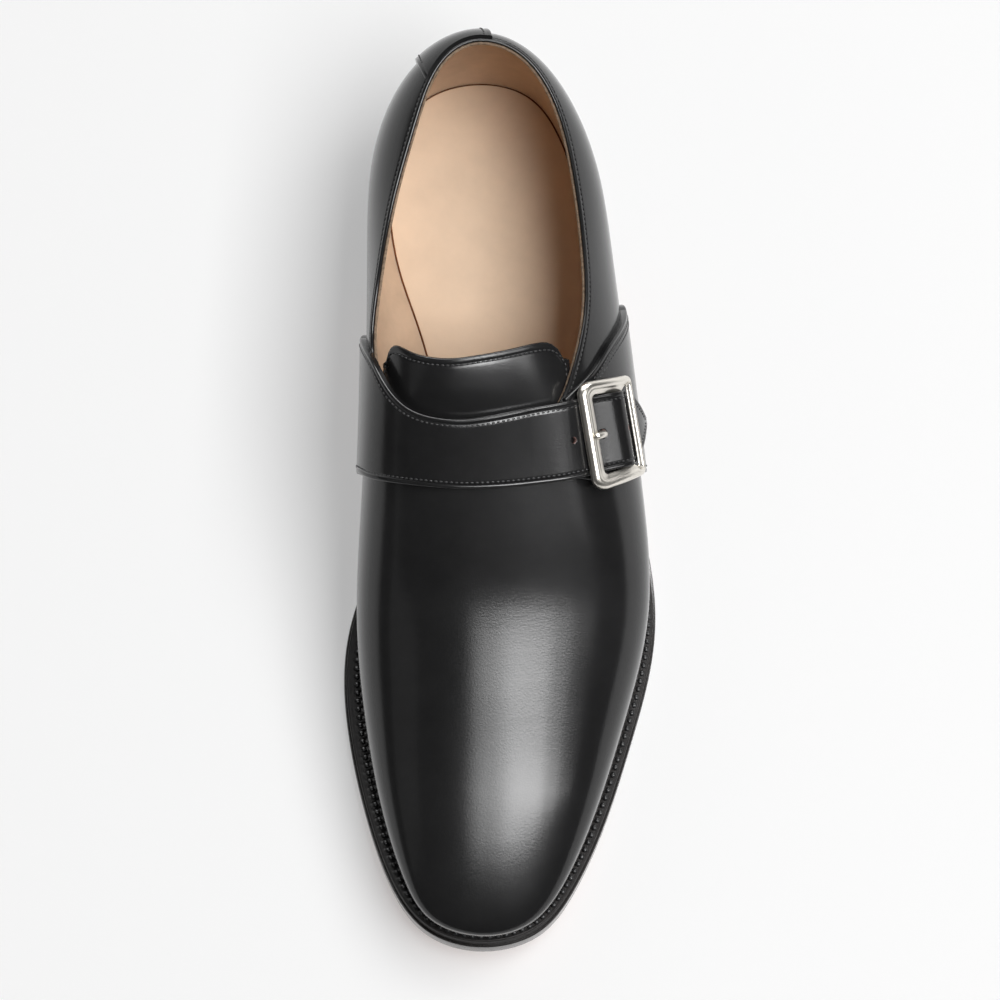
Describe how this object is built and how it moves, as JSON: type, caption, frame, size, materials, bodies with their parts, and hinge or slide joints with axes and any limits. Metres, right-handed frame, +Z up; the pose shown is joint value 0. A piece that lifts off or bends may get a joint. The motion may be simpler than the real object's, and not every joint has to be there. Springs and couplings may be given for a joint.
{
  "type": "single monk strap shoe",
  "caption": "Left men's dress shoe with a strap over the instep closed by a buckle on the outer side, leather sole with welt and stacked heel, open collar.",
  "frame": {"origin": "on the floor, under the middle of the shoe's bounding box", "axes": "+Z up, +Y towards the heel, -Y towards the toe, +X towards the outer side with the buckle"},
  "size_m": [0.1054, 0.3036, 0.0927],
  "materials": {
    "black_calf": "polished black calf",
    "tan_lining": "matte natural leather",
    "sole_leather": "waxed tan sole leather",
    "edge_black": "black edge dressing",
    "heel_rubber": "matte",
    "nickel": "polished nickel"
  },
  "bodies": {
    "root": {"outsole": "sole_leather", "welt": "edge_black", "heel_rand": "edge_black", "heel_stack": "edge_black", "heel_top_piece": "sole_leather", "heel_rubber_quarter": "heel_rubber", "insole": "tan_lining", "upper": "black_calf", "back_strap": "black_calf", "tongue": "black_calf", "strap": "black_calf", "buckle_tab": "black_calf", "buckle_frame": "nickel", "buckle_prong": "nickel"}
  },
  "joints": []
}
